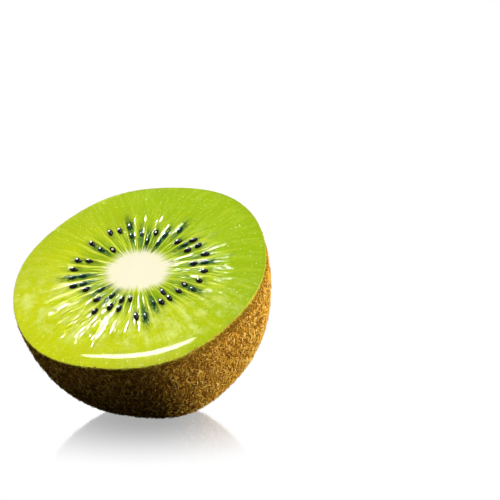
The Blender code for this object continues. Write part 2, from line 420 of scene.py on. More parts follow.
core = start("kiwi_core", bpy.ops.mesh.primitive_circle_add,
             vertices=CORE_STEPS, radius=1.0, fill_type="NGON")
bpy.ops.object.mode_set(mode="EDIT")
bpy.ops.mesh.select_all(action="SELECT")
for ring in range(TOP_INSETS):
    bpy.ops.mesh.inset(thickness=TOP_INSET, depth=0.0)
bpy.ops.mesh.select_all(action="DESELECT")
bpy.ops.mesh.select_mode(type="EDGE")
bpy.ops.mesh.select_non_manifold()
for ring in range(CORE_RINGS):
    bpy.ops.mesh.extrude_region_move(TRANSFORM_OT_translate={"value": (0.0, 0.0, -1.0 / CORE_RINGS)})
bpy.ops.object.mode_set(mode="OBJECT")

shaft = points_of(core)
shaft_angle, shaft_share = polar(shaft)
side_radius, side_z = core_side(shaft_angle, -shaft[:, 2])
on_top = shaft[:, 2] > -0.01 / CORE_RINGS
above_tip = shaft[:, 2] > -0.99
shaft_radius = np.where(on_top, shaft_share, 1.0) * (side_radius + CORE_TIGHTNESS * above_tip)
top_z = CROWN + CORE_DOME * (1.0 - shaft_share**2)
place_points(core, from_polar(shaft_angle, shaft_radius, np.where(on_top, top_z, side_z)))
close_seams(core)
core.data.transform(TO_WORLD)
activate(core)
bpy.ops.object.shade_smooth_by_angle(angle=SMOOTH_UP_TO)
tell(core)

# %% [markdown]
# ## The seeds
# Each seed is a flattened drop, less than two millimetres long, with its narrow end towards the core.
# One is modelled from a sphere and copied to every place, each copy a little longer, shorter or slimmer.
# Where the knife went through a seed, its top is bisected away, and the pale kernel shows inside the
# black coat.

# %% Model one seed
SEED_LENGTH = 0.0019
SEED_WIDTH = 0.00115
SEED_THICKNESS = 0.0010
SEED_TAPER = 0.5
SEED_POINT = 1.3  # more makes only the very end narrow
SEED_LIFT = 0.00010
SUNK_DEPTH = 0.00012  # a seed under the gel lies this much lower
CUT_HEIGHT = 0.00016  # the knife passed this far above the seed's middle

pattern_seed = start("seed", bpy.ops.mesh.primitive_uv_sphere_add,
                     segments=20, ring_count=12, radius=0.5)
bpy.ops.object.mode_set(mode="EDIT")
bpy.ops.mesh.select_all(action="SELECT")
bpy.ops.transform.rotate(value=0.5 * math.pi, orient_axis="Y", center_override=(0.0, 0.0, 0.0))
bpy.ops.object.mode_set(mode="OBJECT")
drop = points_of(pattern_seed)
narrow = 1.0 - SEED_TAPER * np.maximum(0.0, -2.0 * drop[:, 0]) ** SEED_POINT
drop *= np.stack([SEED_LENGTH * np.ones_like(narrow), SEED_WIDTH * narrow, SEED_THICKNESS * narrow], axis=1)
place_points(pattern_seed, drop)
close_seams(pattern_seed)


# %% Copy it to its places
KERNEL_SHARE = 0.62  # of the seed's size
KERNEL_LIFT = 0.00002  # the cut kernel stands this far above the cut coat
SLIMNESS = {True: (0.62, 0.85), False: (0.80, 1.0)}  # for seeds under the gel, and for the others
LENGTHS = (0.88, 1.08)


def seed_matrix(seed, lift):
    out_x, out_y = heading_of(seed)
    place = Vector((seed["distance"] * out_x, seed["distance"] * out_y, lift))
    return TO_WORLD @ Matrix.Translation(place) @ Matrix.Rotation(seed["angle"] + seed["turn"], 4, "Z")


def copy_mesh(source, name):
    made = bpy.data.objects.new(name, source.data.copy())
    bpy.context.scene.collection.objects.link(made)
    return made


def cut_top(obj, height):
    """Slices off all above a height and closes the cut."""
    activate(obj)
    bpy.ops.object.mode_set(mode="EDIT")
    bpy.ops.mesh.select_all(action="SELECT")
    bpy.ops.mesh.bisect(plane_co=(0.0, 0.0, height), plane_no=(0.0, 0.0, 1.0),
                        use_fill=True, clear_outer=True)
    bpy.ops.object.mode_set(mode="OBJECT")


seed_copies = []
kernel_copies = []
sizes = random.Random(4)
for number, seed in enumerate(SEEDS):
    copy = copy_mesh(pattern_seed, f"seed_{number}")
    slimness = sizes.uniform(*SLIMNESS[seed["sunk"]])
    copy.data.transform(Matrix.Diagonal((sizes.uniform(*LENGTHS), slimness, 1.0, 1.0)))
    if seed["cut"]:
        cut_top(copy, CUT_HEIGHT)
        kernel = copy_mesh(pattern_seed, f"kernel_{number}")
        kernel_size = (KERNEL_SHARE, KERNEL_SHARE * slimness, KERNEL_SHARE, 1.0)
        kernel.data.transform(Matrix.Diagonal(kernel_size))
        cut_top(kernel, CUT_HEIGHT + KERNEL_LIFT)
        kernel.data.transform(seed_matrix(seed, CROWN + SEED_LIFT))
        kernel_copies.append(kernel)
    copy.data.transform(seed_matrix(seed, CROWN + SEED_LIFT - (SUNK_DEPTH if seed["sunk"] else 0.0)))
    give_attribute(copy, "under_gel", [1.0 if seed["sunk"] else 0.0] * len(copy.data.vertices))
    seed_copies.append(copy)


def join(name, copies):
    made = activate(*copies)
    bpy.ops.object.join()
    made.name = made.data.name = name
    bpy.ops.object.shade_smooth_by_angle(angle=math.radians(45.0))
    tell(made)
    return made


seeds = join("kiwi_seeds", seed_copies)
kernels = join("seed_kernels", kernel_copies)
bpy.data.objects.remove(pattern_seed)

# %% [markdown]
# ## The skin
# The skin is a thin brown bag, thinner than a fifth of a millimetre. The lower half of a sphere is kept,
# its vertices are placed on the skin's outline, and Solidify gives it its thickness inwards. Fine bumps
# come from noise. Below the floor's height it is pressed flat, as the soft fruit is where it lies.

# %% Shape the skin
SKIN_STEPS = 288
SKIN_RINGS = 160
BUMP_HEIGHT = 0.00007
BUMPS_PER_METRE = 900.0
FINER = 2.3

skin = start("kiwi_skin", bpy.ops.mesh.primitive_uv_sphere_add,
             segments=SKIN_STEPS, ring_count=SKIN_RINGS, radius=1.0)
bpy.ops.object.mode_set(mode="EDIT")
bpy.ops.mesh.select_all(action="SELECT")
bpy.ops.mesh.bisect(plane_co=(0.0, 0.0, 0.0), plane_no=(0.0, 0.0, 1.0), clear_outer=True)
bpy.ops.object.mode_set(mode="OBJECT")


def bumps(points):
    coarse = noise_at(points * BUMPS_PER_METRE)
    fine = noise_at(points * FINER * BUMPS_PER_METRE)
    return BUMP_HEIGHT * coarse + 0.5 * BUMP_HEIGHT * fine


ball = points_of(skin)
ball_angle, _ = polar(ball)
skin_fall = 2.0 / math.pi * np.arcsin(np.clip(-ball[:, 2], 0.0, 1.0))
skin_radius, skin_z = skin_shape(ball_angle, skin_fall)
skin_flat = from_polar(ball_angle, skin_radius, skin_z)
outwards = skin_flat / np.maximum(1e-9, np.linalg.norm(skin_flat, axis=1))[:, None]
skin_flat += outwards * (bumps(skin_flat) * smooth_step(0.0, 0.08, skin_fall))[:, None]
place_points(skin, skin_flat)
skin.data.transform(TO_WORLD)
press(skin, 0.0)
give_attribute(skin, "fall", skin_fall)
activate(skin)
bpy.ops.object.modifier_add(type="SOLIDIFY")
skin.modifiers["Solidify"].thickness = SKIN_THICKNESS
skin.modifiers["Solidify"].offset = -1.0
bpy.ops.object.modifier_apply(modifier="Solidify")
bpy.ops.object.shade_smooth()
tell(skin)

# %% [markdown]
# ## The fuzz
# A kiwi's skin is covered with short stiff hairs, golden where light catches them. Particle hair isn't
# kept when a model is exported, so each hair here is a tiny closed mesh, made with all the others from
# arrays. First the roots are scattered over the skin, so that a large face gets more than a small one.
# A primitive's faces come in another order on each run, so they are sorted, or the same draws would put
# the hairs elsewhere every time.

# %% Scatter roots
CHANCE = np.random.default_rng(7)
LOWEST_ROOT = 0.0002


def sorted_triangles(mesh):
    """The corners of each triangle. Every face starts at its lowest vertex number."""
    triangles = []
    for face in mesh.polygons:
        ring = list(face.vertices)
        first = ring.index(min(ring))
        ring = ring[first:] + ring[:first]
        triangles += [(ring[0], *pair) for pair in zip(ring[1:], ring[2:])]
    return np.array(sorted(triangles))


SKIN_CORNERS = sorted_triangles(skin.data)


def scatter(count, edge_fall):
    """Roots on the skin's outside, clear of the rim and the flat spot: place, normal and fall."""
    fall = np.empty(len(skin.data.vertices), np.float32)
    skin.data.attributes["fall"].data.foreach_get("value", fall)
    fall = fall[SKIN_CORNERS].mean(axis=1)
    points = points_of(skin)[SKIN_CORNERS]
    cross = np.cross(points[:, 1] - points[:, 0], points[:, 2] - points[:, 0])
    area = np.linalg.norm(cross, axis=1)
    normal = cross / np.maximum(1e-15, area)[:, None]
    middle = points.mean(axis=1)
    faces_out = np.einsum("ij,ij->i", normal, middle - np.array(FRUIT_PLACE)) > 0.0
    allowed = faces_out & (fall > edge_fall) & (middle[:, 2] > LOWEST_ROOT)
    chosen = CHANCE.choice(np.nonzero(allowed)[0], size=count, p=area[allowed] / area[allowed].sum())
    mix = CHANCE.dirichlet((1.0, 1.0, 1.0), size=count)
    return np.einsum("ij,ijk->ik", mix, points[chosen]), normal[chosen], fall[chosen]


# %% [markdown]
# Every hair is a three-sided spike, bent or straight. Its corners are numbered from the root to the tip,
# and one pattern of faces is repeated for all. A custom normal on each corner shades the hair partly as
# if it were the skin below it, because hairs that lie close catch the light as one surface.

# %% Turn corners into a mesh
LOWEST_HAIR = 0.00003
SKIN_SHADING = 0.7
BENT_HAIR = [(2, 1, 0), (4, 3, 0), (1, 4, 0), (5, 4, 1), (2, 5, 1), (3, 5, 2), (0, 3, 2),
             (4, 6, 3), (5, 6, 4), (3, 6, 5)]
STRAIGHT_HAIR = [(2, 1, 0), (1, 3, 0), (2, 3, 1), (0, 3, 2)]


def unit(vectors):
    return vectors / np.linalg.norm(vectors, axis=1)[:, None]


def hair_mesh(name, points, pattern):
    count, corners = points.shape[:2]
    faces = (np.array(pattern)[None] + corners * np.arange(count)[:, None, None]).reshape(-1, 3)
    mesh = bpy.data.meshes.new(name)
    mesh.vertices.add(corners * count)
    mesh.vertices.foreach_set("co", points.astype(np.float32).ravel())
    mesh.loops.add(3 * len(faces))
    mesh.loops.foreach_set("vertex_index", faces.astype(np.int32).ravel())
    mesh.polygons.add(len(faces))
    mesh.polygons.foreach_set("loop_start", np.arange(0, 3 * len(faces), 3, dtype=np.int32))
    mesh.update(calc_edges=True)
    hair = bpy.data.objects.new(name, mesh)
    bpy.context.scene.collection.objects.link(hair)
    return hair


def shading(points, course, wide, normals):
    """A normal for each corner, between that of the hair and that of the skin."""
    across = points - points.mean(axis=1, keepdims=True)
    across -= course[:, None] * np.einsum("ijk,ik->ij", across, course)[:, :, None]
    return across / wide[:, None] * (1.0 - SKIN_SHADING) + normals[:, None] * SKIN_SHADING


# %% [markdown]
# Hairs lean down the fruit, with some chance in direction, length, width and bend. Those of one tuft
# start close together and lean the same way, which makes visible strands. Along the upper rim they are
# shorter, and along the front rim some turn and stand over the cut's edge. Near the rim all are darker:
# this is painted shade, for the shadow of the cut's edge.
# Three kinds lie over each other: long golden fuzz in tufts, a shorter underfuzz, and fine dark down.

# %% Grow the hairs
TUFT_WIDTH = 0.00016
TUFT_STRAY = 0.12  # how far the hairs of one tuft stray from its direction, in radians
NEAR_RIM = 0.06  # as fall
FRONT_START, FRONT_FULL = 0.2, 0.6  # how much the skin below faces the front
FRONT_STRAY = 3.0
UPPER_LOSS = 0.6
RIM_PAINTED_SHADE = 0.25
LIFTS = (0.4, 1.6)
HAIR_LENGTHS = (0.55, 1.25)
HAIR_WIDTHS = (0.7, 1.2)
BEND_SHARE = 0.55  # of the length, from the root
BEND_WIDTH = 0.75
ROOT_DEPTH = 0.1  # of the width


def grow(name, tufts, hairs_each, length, width, lift, stray, edge_fall, tones, bent=True):
    """One piece of many closed hairs, each with a root triangle, a middle one if it is bent, and a tip."""
    count = tufts * hairs_each
    roots, normals, fall = (np.repeat(values, hairs_each, axis=0) for values in scatter(tufts, edge_fall))
    near_rim = 1.0 - smooth_step(0.0, NEAR_RIM, fall)
    in_front = smooth_step(FRONT_START, FRONT_FULL, -normals[:, 1])
    down = np.array(TO_WORLD.to_3x3() @ Vector((0.0, 0.0, -1.0)))
    down = unit(down - normals * (normals @ down)[:, None])
    side = np.cross(normals, down)
    if hairs_each > 1:
        aside, along = (CHANCE.uniform(-0.5, 0.5, (count, 1)) for way in range(2))
        roots = roots + TUFT_WIDTH * (aside * side + along * down)

    heading = np.repeat(CHANCE.normal(0.0, stray, tufts), hairs_each)
    heading = heading + CHANCE.normal(0.0, TUFT_STRAY, count)
    heading = (heading * (1.0 + FRONT_STRAY * near_rim * in_front))[:, None]
    lean_out = (lift * CHANCE.uniform(*LIFTS, count))[:, None]
    course = unit(down * np.cos(heading) + side * np.sin(heading) + normals * lean_out)
    long = length * CHANCE.uniform(*HAIR_LENGTHS, count)
    long = (long * (1.0 - UPPER_LOSS * near_rim * (1.0 - in_front)))[:, None]
    bend = unit(course + 0.8 * side * CHANCE.normal(0.0, 0.6, count)[:, None] - 0.35 * normals)
    middles = roots + BEND_SHARE * long * course
    tips = middles + (1.0 - BEND_SHARE) * long * bend
    wide = (width * CHANCE.uniform(*HAIR_WIDTHS, count))[:, None]

    first = unit(np.cross(course, normals))
    second = np.cross(course, first)
    stations = [(roots - ROOT_DEPTH * width * normals, 1.0), (middles, BEND_WIDTH)]
    rings = []
    for centre, size in stations[:2 if bent else 1]:
        for turn in (0.0, 2.0 * math.pi / 3.0, 4.0 * math.pi / 3.0):
            rings.append(centre + 0.5 * size * wide * (first * math.cos(turn) + second * math.sin(turn)))
    points = np.stack([*rings, tips], axis=1)
    points[:, :, 2] = np.maximum(points[:, :, 2], LOWEST_HAIR)

    hair = hair_mesh(name, points, BENT_HAIR if bent else STRAIGHT_HAIR)
    tone = np.repeat(CHANCE.uniform(*tones, tufts), hairs_each) + CHANCE.normal(0.0, 0.08, count)
    # painted shade: hairs near the rim are darker, as the cut's edge shades them
    tone = np.clip(tone - RIM_PAINTED_SHADE * near_rim, 0.0, 1.0)
    give_attribute(hair, "tone", np.repeat(tone, points.shape[1]))
    activate(hair)
    bpy.ops.object.shade_smooth()
    shaded = shading(points, course, wide, normals).reshape(-1, 3)
    hair.data.normals_split_custom_set_from_vertices(unit(shaded).tolist())
    tell(hair)
    return hair


fuzz = grow("kiwi_fuzz", 9800, 2, length=0.00115, width=0.00009, lift=0.24, stray=0.62,
            edge_fall=0.003, tones=(0.30, 1.0))
underfuzz = grow("kiwi_underfuzz", 48000, 1, length=0.00085, width=0.00009, lift=0.18, stray=0.80,
                 edge_fall=0.002, tones=(0.0, 0.95), bent=False)
down_fuzz = grow("kiwi_down", 48000, 1, length=0.0007, width=0.00008, lift=0.14, stray=0.9,
                 edge_fall=0.0, tones=(0.0, 0.7), bent=False)

# %% [markdown]
# ## Writing shaders as sums
# Nodes are boxes joined by wires, which are hard to read in a script. A small class wraps one output
# socket, so that plain arithmetic on it adds the Math nodes. Any other node comes from one method.

# %% Shader helpers
class Signal:
    """One output socket. Arithmetic on it adds Math nodes to its shader."""

    def __init__(self, shader, socket):
        self.shader = shader
        self.socket = socket

    def maths(self, operation, *values):
        return self.shader.node("ShaderNodeMath", {"operation": operation}, dict(enumerate(values)))

    def __add__(self, other):
        return self.maths("ADD", self, other)

    __radd__ = __add__

    def __mul__(self, other):
        return self.maths("MULTIPLY", self, other)

    __rmul__ = __mul__

    def __sub__(self, other):
        return self.maths("SUBTRACT", self, other)

    def __rsub__(self, other):
        return self.maths("SUBTRACT", other, self)

    def __truediv__(self, other):
        return self.maths("DIVIDE", self, other)

    def __pow__(self, other):
        return self.maths("POWER", self, other)

    def clamped(self):
        return self.maths("MINIMUM", self.maths("MAXIMUM", self, 0.0), 1.0)

    def cosine(self):
        return self.maths("COSINE", self)

    def sine(self):
        return self.maths("SINE", self)

    def beside(self, name):
        """Another output socket of the same node."""
        return Signal(self.shader, self.socket.node.outputs[name])


class Shader:
    """The node tree of one material, or of the world."""

    def __init__(self, owner, output):
        owner.use_nodes = True
        self.tree = owner.node_tree
        self.tree.nodes.clear()
        self.output = self.tree.nodes.new(output)

    def node(self, kind, settings=None, sockets=None, output=0):
        made = self.tree.nodes.new(kind)
        for name, value in (settings or {}).items():
            if name == "stops":
                stops = made.color_ramp.elements
                stops.remove(stops[1])
                stops[0].position, stops[0].color = value[0][0], (*value[0][1], 1.0)
                for place, color in value[1:]:
                    stops.new(place).color = (*color, 1.0)
            else:
                setattr(made, name, value)
        for name, value in (sockets or {}).items():
            if isinstance(value, Signal):
                self.tree.links.new(value.socket, made.inputs[name])
            else:
                made.inputs[name].default_value = value
        return Signal(self, made.outputs[output])

    def mix(self, factor, first, second):
        """Blends two colours: factor 0 gives the first."""
        first, second = (value if isinstance(value, Signal) else (*value, 1.0) for value in (first, second))
        return self.node("ShaderNodeMix", {"data_type": "RGBA"}, {0: factor, 6: first, 7: second}, 2)

    def step(self, low, high, value):
        """0 below low, 1 above high and smooth between."""
        settings = {"interpolation_type": "SMOOTHSTEP"}
        return self.node("ShaderNodeMapRange", settings, {0: value, 1: low, 2: high, 3: 0.0, 4: 1.0})

    def fade(self, low, high, value):
        """The opposite of a step: 1 below low and 0 above high."""
        return 1.0 - self.step(low, high, value)

    def noise(self, vector, scale, detail=2.0, roughness=0.5):
        sockets = {"Vector": vector, "Scale": scale, "Detail": detail, "Roughness": roughness}
        return self.node("ShaderNodeTexNoise", {}, sockets)

    def attribute(self, name):
        return self.node("ShaderNodeAttribute", {"attribute_name": name}, {}, 2)

    def fruit_space(self, turn=0.0, scale=(1.0, 1.0, 1.0)):
        """Object coordinates brought back to the fruit's own frame."""
        place = self.node("ShaderNodeTexCoord", {}, {}, 3)
        upright = self.node("ShaderNodeMapping", {"vector_type": "TEXTURE"},
                            {0: place, 1: tuple(FRUIT_PLACE), 2: (TILT, 0.0, 0.0)})
        if turn == 0.0 and scale == (1.0, 1.0, 1.0):
            return upright
        return self.node("ShaderNodeMapping", {"vector_type": "TEXTURE"},
                         {0: upright, 2: (0.0, 0.0, turn), 3: scale})

    def bump(self, height, distance, strength=1.0):
        sockets = {"Height": height, "Distance": distance, "Strength": strength}
        return self.node("ShaderNodeBump", {}, sockets)

    def finish(self, surface):
        self.tree.links.new(surface.socket, self.output.inputs[0])

    def paint(self, sockets):
        """Ends a material in one Principled surface."""
        self.finish(self.node("ShaderNodeBsdfPrincipled", {}, sockets))


def new_material(name):
    material = bpy.data.materials.new(name)
    return material, Shader(material, "ShaderNodeOutputMaterial")


# %% [markdown]
# ## Wet flesh and core
# The cream of the core runs out into the green in fine rays, so flesh and core share one rule of colour.
# It starts from two numbers: how far out a point lies against the core's oval, and its direction. Noise
# that is long outwards and narrow sideways gives every change a fibrous edge.

# %% Places on the cut
def cut_place(shader):
    """Place in the fruit's frame, its x and y, its direction, and its distance: 1 is the core's edge."""
    flat = shader.fruit_space()
    x = shader.node("ShaderNodeSeparateXYZ", {}, {0: flat})
    y = x.beside("Y")
    oval = shader.fruit_space(CORE_TURN, (0.5 * CORE_LENGTH, 0.5 * CORE_WIDTH, 1.0))
    level = shader.node("ShaderNodeVectorMath", {"operation": "MULTIPLY"}, {0: oval, 1: (1.0, 1.0, 0.0)})
    out = shader.node("ShaderNodeVectorMath", {"operation": "LENGTH"}, {0: level}, 1)
    return flat, x, y, x.maths("ARCTAN2", y, x), out


def fibrous(shader, angle, out, reach, scale, detail=2.0, roughness=0.5):
    """Noise that is narrow sideways. A small reach makes it long outwards."""
    spot = {0: angle.cosine() * 9.0, 1: angle.sine() * 9.0, 2: out * reach}
    return shader.noise(shader.node("ShaderNodeCombineXYZ", {}, spot), scale, detail, roughness)


# %% [markdown]
# The colours come in layers, from the ground upwards. Painted shade deepens the green towards the upper
# right and, except on the lower side, towards the rim. On the lower side pale clouds are a painted sheen.
# Mottles and specks lie in the green. Round the core lie darker chambers with pale rays on the ribs between
# them, and near each seed dark gel, torn into fine hairlines. Small pale dots further out are painted
# glints of juice droplets. At last the cream of the core covers the middle.

# %% Colours of the cut
CREAM = (0.75, 0.705, 0.52)
PALE_GREEN = (0.60, 0.66, 0.05)
SHEEN_AND_SPECK_GREEN = (0.66, 0.71, 0.20)
YELLOW_GREEN = (0.47, 0.52, 0.003)
SHADED_GREEN = (0.30, 0.44, 0.004)
MOTTLED_GREEN = (0.27, 0.47, 0.010)
OUTER_SHADE_GREEN = (0.38, 0.44, 0.004)
RIM_SHADE_GREEN = (0.30, 0.43, 0.003)
CHAMBER_GREEN = (0.13, 0.29, 0.006)
GEL_GREEN = (0.025, 0.10, 0.018)
RAY_COLOR = (0.62, 0.68, 0.04)
DROPLET_GLINT_COLOR = (0.76, 0.80, 0.36)

# Where each layer starts and where it fades, as distances from the middle
CREAM_FADE = (0.84, 1.26)
THREAD_START, THREAD_FADE = (0.9, 1.2), (2.2, 3.4)
RING_START, RING_FADE = (1.05, 1.40), (1.7, 2.6)
RAY_FADE = (1.9, 3.0)
MOTTLE_START = (1.6, 2.4)
SHEEN_START, SHEEN_FADE = (1.8, 2.4), (3.6, 4.4)
DROPLET_GLINT_START = (1.8, 3.2)
OUTER_SHADE_START = (2.3, 3.7)
FILM_START = (3.0, 3.6)

RAY_SHARPNESS = 11.0
SHADE_HEADING = (0.64, 0.77)  # the painted shade deepens this way
SHADE_START = (-0.018, 0.020)  # metres from the middle, that way
BELOW_FADE = (-0.010, 0.002)  # the side that lies lower, by y in metres
DRYNESS = 0.11
GATHERED_FILM = 0.03  # where juice gathers, the film is this much smoother


def ground_color(shader, place, strands, wide):
    """The green of the flesh with its painted shade and sheen, but without rays, gel or cream; and the mask
    of the painted shade on the upper right.
    """
    flat, x, y, angle, out = place
    across, along = SHADE_HEADING
    # painted shade: the green deepens towards the upper right of the cut
    upper_right_shade = shader.step(*SHADE_START, (x * across + y * along) + (wide - 0.5) * 0.012)
    # painted shade: the outer green is darker, except on the lower side, which also gets fainter mottles
    below = shader.fade(*BELOW_FADE, y)
    ground = shader.mix(shader.step(*OUTER_SHADE_START, out) * (1.0 - below) * 0.8, YELLOW_GREEN, OUTER_SHADE_GREEN)
    ground = shader.mix(upper_right_shade, ground, SHADED_GREEN)
    ground = shader.mix(((strands - 0.45) * 2.0).clamped() * 0.6, ground, PALE_GREEN)
    mottled = shader.step(0.50, 0.66, shader.noise(flat, 900.0, 3.0, 0.6)) * shader.step(*MOTTLE_START, out)
    ground = shader.mix(mottled * (1.0 - below * 0.6) * 0.4, ground, MOTTLED_GREEN)
    # painted sheen: pale clouds on the lower side; the fine specks mixed into the same colour are the
    # flesh's own
    streaky = fibrous(shader, angle, out, 0.35, 0.9, 4.0, 0.65) * 0.5
    streaky = streaky + shader.noise(flat, 500.0, 3.0, 0.6) * 0.5
    sheen_clouds = shader.step(0.44, 0.62, streaky) * below
    sheen_clouds = sheen_clouds * shader.step(*SHEEN_START, out) * shader.fade(*SHEEN_FADE, out)
    speckle = shader.step(0.56, 0.84, shader.noise(flat, 2200.0, 1.0))
    return shader.mix((sheen_clouds * 0.6 + speckle * 0.35).clamped(), ground, SHEEN_AND_SPECK_GREEN), upper_right_shade


def cut_colors(shader, share, gel):
    """The colour of the cut, its strands, how dry its film is, and how uneven."""
    place = cut_place(shader)
    flat, _, _, angle, out = place
    strands = fibrous(shader, angle, out, 0.35, 3.0, 3.0, 0.6)
    wide = fibrous(shader, angle, out, 0.35, 0.7)
    ground, upper_right_shade = ground_color(shader, place, strands, wide)

    strayed = angle + (wide - 0.5) * 0.05
    ray = (0.5 - ((strayed - FIRST_CHAMBER) * CHAMBERS).cosine() * 0.5) ** RAY_SHARPNESS
    ring = shader.step(*RING_START, out) * shader.fade(*RING_FADE, out + (strands - 0.5) * 1.2)
    ground = shader.mix((ring * (1.0 - ray) * (0.25 + wide)).clamped() * 0.8, ground, CHAMBER_GREEN)
    rays = ray * shader.fade(*RAY_FADE, out + (strands - 0.5) * 1.5) * (0.15 + wide * 1.2)
    threads = shader.step(0.53, 0.60, strands)
    threads = threads * shader.step(*THREAD_START, out) * shader.fade(*THREAD_FADE, out)
    ground = shader.mix((rays + threads * 0.55).clamped(), ground, RAY_COLOR)

    torn = shader.step(0.38, 0.62, fibrous(shader, angle, out, 1.0, 6.0, 3.0, 0.65))
    ground = shader.mix(((1.0 - ray * 0.8) * gel * (0.30 + torn * 1.1)).clamped(), ground, GEL_GREEN)
    # painted shade: the rim is darker on the shaded upper right
    ground = shader.mix(shader.step(0.965, 1.0, share) * upper_right_shade * 0.7, ground, RIM_SHADE_GREEN)
    # painted glints: small pale dots of juice droplets further out
    droplet_glints = shader.step(0.69, 0.78, shader.noise(flat, 1900.0, 1.0)) * shader.step(*DROPLET_GLINT_START, out)
    ground = shader.mix(droplet_glints * 0.6, ground, DROPLET_GLINT_COLOR)
    cream = shader.fade(*CREAM_FADE, out - (strands - 0.5) * 0.9 - (wide - 0.5) * 0.5 - ray * 0.08)
    # The film of juice is smoothest where it gathers, along the outer edge
    gathered = shader.step(*FILM_START, out)
    return shader.mix(cream, ground, CREAM), strands, DRYNESS - gathered * GATHERED_FILM, 1.0 - gathered


# %% [markdown]
# A little light scatters inside, which softens the small relief, and the wet film gives sharp glints.
# In the wet sectors the film is smoother still and hides part of the fine relief.

# %% Flesh and core materials
WET_SMOOTHING = 0.05
CORE_ROUGHNESS = 0.34


def paint_wet(shader, color, bump, roughness):
    shader.paint({
        "Base Color": color,
        "Roughness": roughness,
        "IOR": 1.38,
        "Normal": bump,
        "Subsurface Weight": 0.35,
        "Subsurface Radius": (1.0, 1.0, 0.15),
        "Subsurface Scale": 0.0006,
    })


flesh_material, shader = new_material("wet_flesh")
color, strands, dryness, uneven = cut_colors(shader, shader.attribute("share"), shader.attribute("gel"))
grain = shader.noise(shader.fruit_space(), 1800.0)
wet = shader.attribute("wet")
relief = (strands * 0.7 + grain * 0.3) * uneven * (1.0 - wet * 0.6)
bump = shader.bump(relief, 0.00022, 0.5)
paint_wet(shader, color, bump, dryness - wet * WET_SMOOTHING)

core_material, shader = new_material("moist_core")
color = cut_colors(shader, 0.0, 0.0)[0]
bump = shader.bump(shader.noise(shader.fruit_space(), 2600.0), 0.00005, 0.4)
paint_wet(shader, color, bump, CORE_ROUGHNESS)

dress(flesh, flesh_material)
dress(core, core_material)
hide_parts("flesh")
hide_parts("core")

# %% [markdown]
# ## Seeds
# A seed's coat is black with a hint of brown, and wet, so it shows small sharp glints. Seeds under the
# gel look dark green. The kernel inside a cut seed is nearly white.

# %% Seed materials
SEED_BLACK = (0.003, 0.003, 0.002)
SEED_BROWN = (0.010, 0.004, 0.002)
SEED_UNDER_GEL = (0.006, 0.026, 0.010)
KERNEL_COLOR = (0.80, 0.80, 0.62)

seed_material, shader = new_material("seed_coat")
mottle = shader.step(0.55, 0.75, shader.noise(shader.fruit_space(), 900.0))
color = shader.mix(mottle, SEED_BLACK, SEED_BROWN)
color = shader.mix(shader.attribute("under_gel"), color, SEED_UNDER_GEL)
bump = shader.bump(shader.noise(shader.fruit_space(), 4000.0), 0.00003, 0.2)
shader.paint({"Base Color": color, "Roughness": 0.05, "Specular IOR Level": 0.06, "Normal": bump})

kernel_material, shader = new_material("seed_kernel")
color = shader.mix(shader.noise(shader.fruit_space(), 2500.0), KERNEL_COLOR, CREAM)
shader.paint({"Base Color": color, "Roughness": 0.3})

dress(seeds, seed_material)
dress(kernels, kernel_material)

# %% [markdown]
# ## Skin and fuzz
# Under the hairs the skin is a dull, mottled brown, more olive near the cut, and its very edge shows as a
# ragged green line. At the fruit's end the scar is nearly black. The hairs are golden with darker and
# paler ones among them. Most of the skin's warm colour comes from them, and the gaps between stay dark.

# %% Skin and fuzz materials
SKIN_DARK = (0.060, 0.024, 0.004)
SKIN_LIGHT = (0.20, 0.090, 0.012)
SKIN_OLIVE = (0.115, 0.085, 0.008)
SKIN_EDGE = (0.34, 0.36, 0.03)
SCAR_COLOR = (0.025, 0.014, 0.007)
SCAR_START = (0.955, 0.975)  # these three as fall
OLIVE_FADE = (0.0, 0.08)
EDGE_FADE = (0.0, 0.018)
EDGE_RAGGEDNESS = 0.035
HAIR_DARK = (0.13, 0.040, 0.005)
HAIR_GOLD = (0.62, 0.36, 0.045)
HAIR_PALE = (0.86, 0.66, 0.21)
HAIR_TONES = [(0.0, HAIR_DARK), (0.38, HAIR_DARK), (0.56, HAIR_GOLD), (0.85, HAIR_GOLD), (1.0, HAIR_PALE)]

skin_material, shader = new_material("brown_skin")
fall = shader.attribute("fall")
mottle = shader.noise(shader.fruit_space(), 500.0, 4.0, 0.6)
spots = shader.noise(shader.fruit_space(), 2600.0)
color = shader.mix(shader.step(0.35, 0.68, mottle * 0.6 + spots * 0.4), SKIN_DARK, SKIN_LIGHT)
color = shader.mix(shader.step(*SCAR_START, fall), color, SCAR_COLOR)
color = shader.mix(shader.fade(*OLIVE_FADE, fall) * 0.7, color, SKIN_OLIVE)
ragged = fall + (shader.noise(shader.fruit_space(), 1500.0) - 0.5) * EDGE_RAGGEDNESS
color = shader.mix(shader.fade(*EDGE_FADE, ragged), color, SKIN_EDGE)
bump = shader.bump(mottle + spots, 0.00015, 0.6)
shader.paint({"Base Color": color, "Roughness": 0.8, "Specular IOR Level": 0.0, "Normal": bump})

fuzz_material, shader = new_material("golden_fuzz")
color = shader.node("ShaderNodeValToRGB", {"stops": HAIR_TONES}, {0: shader.attribute("tone")})
shader.paint({"Base Color": color, "Roughness": 0.5, "Specular IOR Level": 0.0})

dress(skin, skin_material)
for hairs in (fuzz, underfuzz, down_fuzz):
    dress(hairs, fuzz_material)

# %% [markdown]
# ## The studio
# The half lies on a plain white floor that mirrors it softly, most of all where it touches. The floor
# gives no light back upwards, so the underside of the skin falls off into the dark.

# %% Floor
WHITE = (1.0, 1.0, 1.0)
FLOOR_STRENGTH = 1.02
MIRROR_SHARE = 0.60
MIRROR_FADE = (0.004, 0.041)  # metres from the middle

